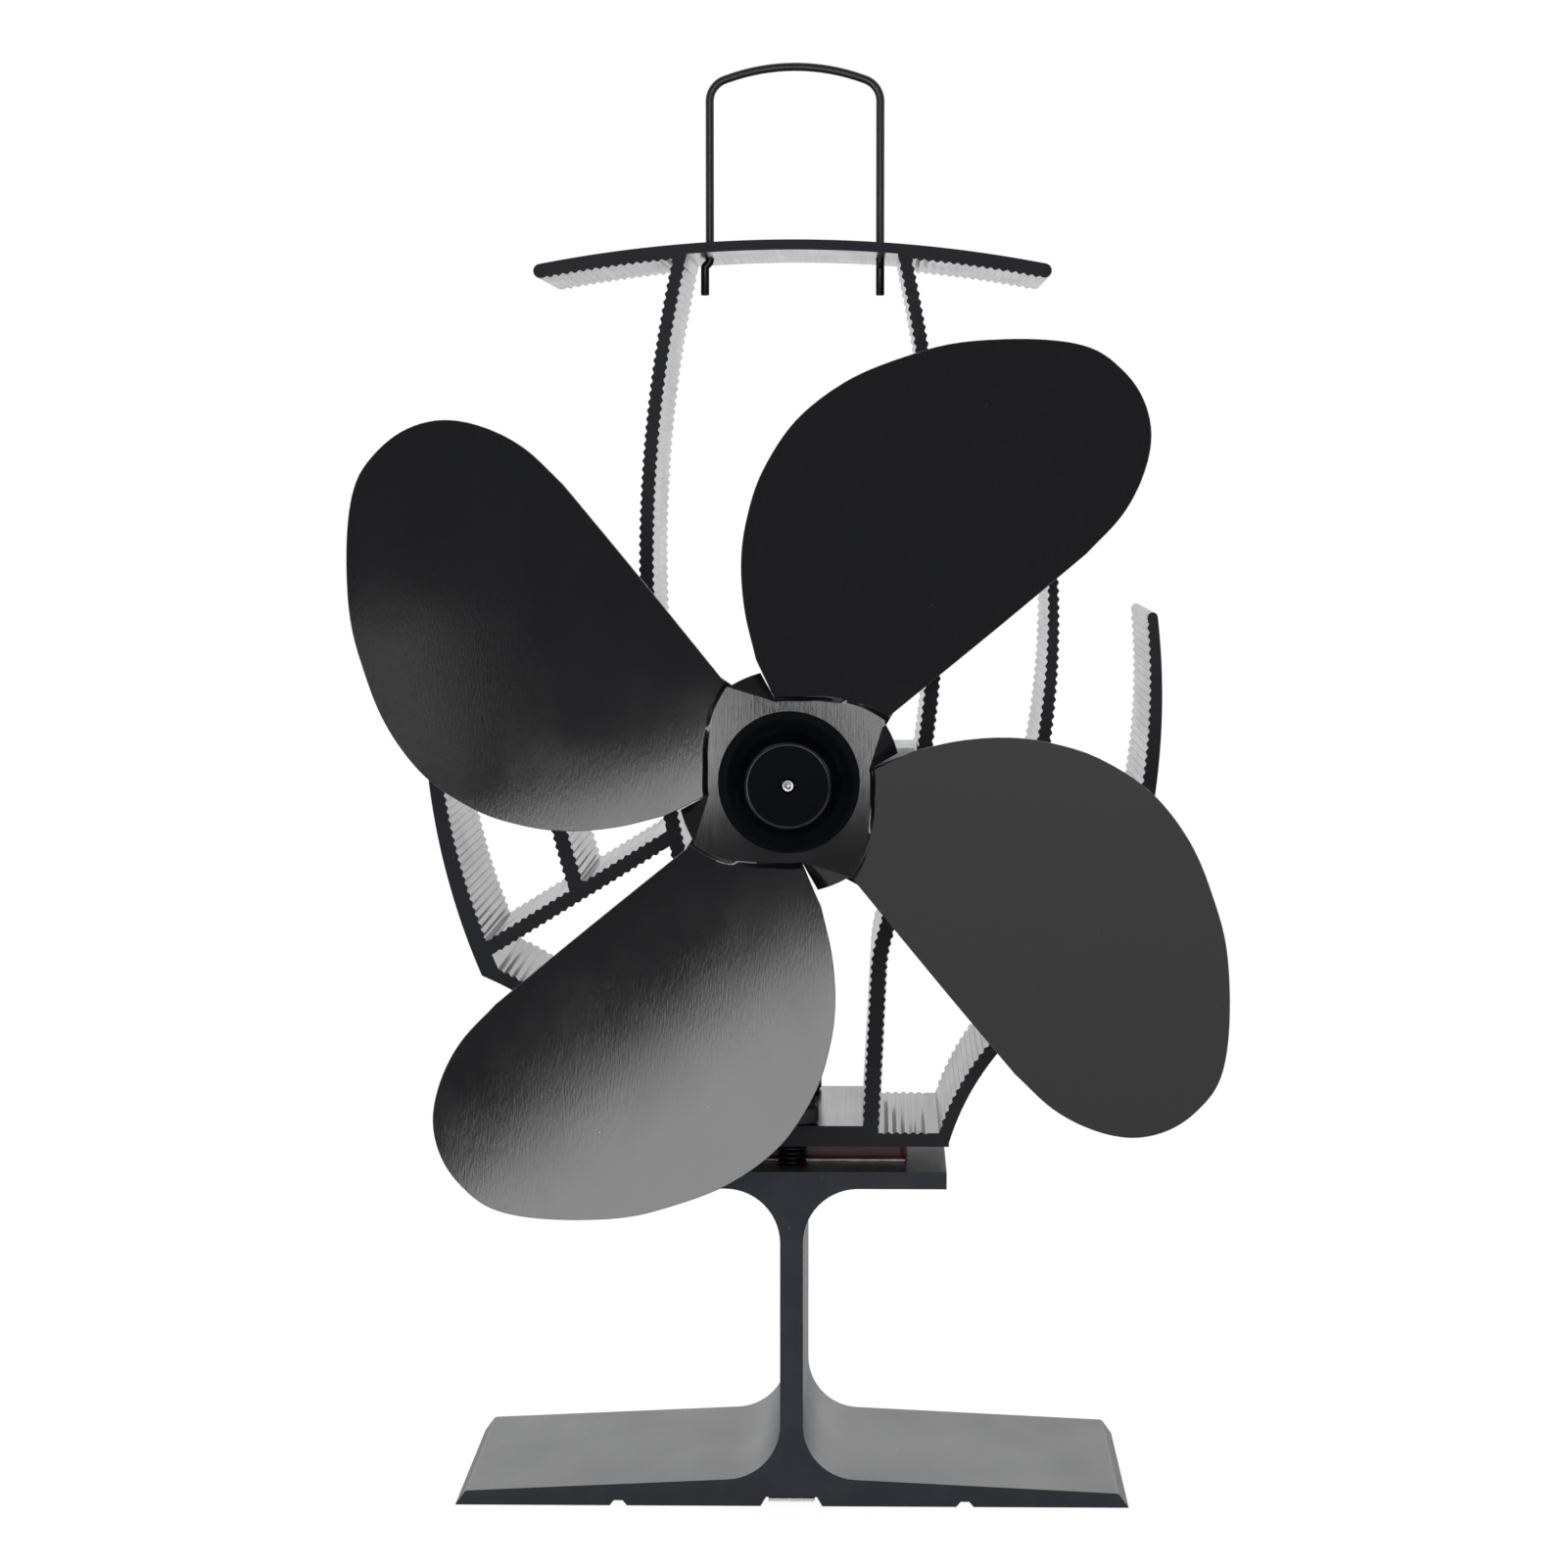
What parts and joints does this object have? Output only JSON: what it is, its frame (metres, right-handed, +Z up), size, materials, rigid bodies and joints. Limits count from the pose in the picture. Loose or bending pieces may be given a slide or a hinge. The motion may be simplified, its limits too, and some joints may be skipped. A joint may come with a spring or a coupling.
{
  "type": "stove fan",
  "caption": "Heat-powered fan that stands on a hot stove: a finned heat sink and foot clamp a thermoelectric module, whose current turns a broad-bladed rotor.",
  "frame": {"origin": "centre of the whole fan's box on the floor, under the stand's middle in X", "axes": "+Z up, -Y towards the viewer along the shaft, +X to the right as seen from the front"},
  "size_m": [0.1466, 0.0902, 0.2501],
  "materials": {
    "stand_anodised": "dark grey anodised, satin",
    "black_anodised": "black anodised, satin, fine extruded teeth",
    "blade_coating": "brushed and black anodised, satin",
    "steel": "bright",
    "dark_steel": "black oxide",
    "spring_steel": "tempered",
    "bimetal": "rolled",
    "brass": "plain",
    "bearing_bronze": "sintered bronze",
    "copper": "enamelled copper",
    "aluminium": "plain, machined",
    "ceramic": "matte alumina",
    "pellet": "semiconductor",
    "red_silicone": "dark red silicone",
    "insulator": "pressed fibre",
    "hub_plastic": "black, semi-gloss",
    "cap_plastic": "black moulded",
    "nylon": "natural",
    "magnet": "ferrite",
    "carbon": "carbon brush",
    "lead_red": "silicone insulation",
    "lead_black": "silicone insulation",
    "handle_wire": "black coated wire"
  },
  "bodies": {
    "frame": {"stand": "stand_anodised", "bimetal_strip": "bimetal", "bimetal_rivet": "brass", "module_hot_plate": "ceramic", "module_cold_plate": "ceramic", "module_pellets": "pellet", "module_seal": "red_silicone", "heat_sink": "black_anodised", "insulating_washer_front": "insulator", "insulating_washer_rear": "insulator", "spring_washer_front": "spring_steel", "spring_washer_rear": "spring_steel", "clamp_screw_front": "dark_steel", "clamp_screw_rear": "dark_steel", "motor_mount": "aluminium", "mount_screw_left": "steel", "mount_screw_right": "steel", "motor_screw_left": "steel", "motor_screw_right": "steel", "motor_can": "steel", "motor_end_cap": "cap_plastic", "motor_front_bearing": "bearing_bronze", "motor_rear_bearing": "bearing_bronze", "motor_magnet_right": "magnet", "motor_magnet_left": "magnet", "motor_brush_upper": "carbon", "motor_brush_lower": "carbon", "motor_terminal_upper": "brass", "motor_terminal_lower": "brass", "lead_positive": "lead_red", "lead_negative": "lead_black"},
    "rotor": {"fan_blades": "blade_coating", "fan_hub": "hub_plastic", "hub_collar": "steel", "hub_grub_screw": "dark_steel", "motor_shaft": "steel", "armature_core": "dark_steel", "armature_winding_1": "copper", "armature_winding_2": "copper", "armature_winding_3": "copper", "commutator": "copper", "thrust_washer_front": "nylon", "thrust_washer_rear": "nylon"},
    "handle": {"handle": "handle_wire"}
  },
  "joints": [
    {"name": "fan_spin", "type": "hinge", "parent": "frame", "child": "rotor", "pos_m": [0, -0.0362, 0.1271], "axis": [0, -1, 0], "continuous": true},
    {"name": "handle_slide", "type": "slide", "parent": "frame", "child": "handle", "axis": [0, 0, 1], "range_m": [-0.025, 0]}
  ]
}
